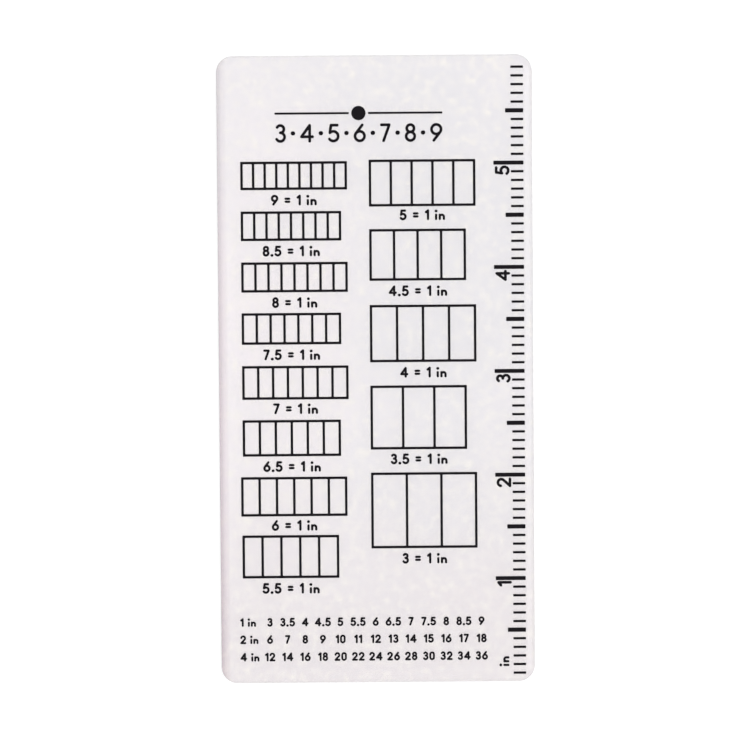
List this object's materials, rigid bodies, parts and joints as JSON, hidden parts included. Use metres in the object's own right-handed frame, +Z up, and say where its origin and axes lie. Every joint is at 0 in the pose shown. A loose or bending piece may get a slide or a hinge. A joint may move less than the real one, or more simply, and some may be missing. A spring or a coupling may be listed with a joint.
{
  "type": "crochet gauge",
  "caption": "Flat see-through plate with rounded edges, printed with stitch grids for reading the gauge of crochet or knitting and an inch scale along one side.",
  "frame": {"origin": "middle of the underside, on the surface that the plate lies on", "axes": "+Z up through the printed face, +Y along the plate away from the scale's zero end, +X towards the side that carries the scale"},
  "size_m": [0.077, 0.1536, 0.003],
  "materials": {
    "clear_plastic": "clear moulded plastic with a faint milky haze",
    "black_ink": "thin film of black printing ink, satin"
  },
  "bodies": {
    "root": {"plate": "clear_plastic", "stitch_grid_9": "black_ink", "stitch_grid_8_5": "black_ink", "stitch_grid_8": "black_ink", "stitch_grid_7_5": "black_ink", "stitch_grid_7": "black_ink", "stitch_grid_6_5": "black_ink", "stitch_grid_6": "black_ink", "stitch_grid_5_5": "black_ink", "stitch_grid_5": "black_ink", "stitch_grid_4_5": "black_ink", "stitch_grid_4": "black_ink", "stitch_grid_3_5": "black_ink", "stitch_grid_3": "black_ink", "heading_rule_left": "black_ink", "heading_dot": "black_ink", "heading_rule_right": "black_ink", "inch_mark_1": "black_ink", "inch_mark_2": "black_ink", "inch_mark_3": "black_ink", "inch_mark_4": "black_ink", "inch_mark_5": "black_ink", "half_inch_mark_0_5": "black_ink", "half_inch_mark_1_5": "black_ink", "half_inch_mark_2_5": "black_ink", "half_inch_mark_3_5": "black_ink", "half_inch_mark_4_5": "black_ink", "half_inch_mark_5_5": "black_ink", "numeral_1": "black_ink", "numeral_2": "black_ink", "numeral_3": "black_ink", "numeral_4": "black_ink", "numeral_5": "black_ink"}
  },
  "joints": []
}
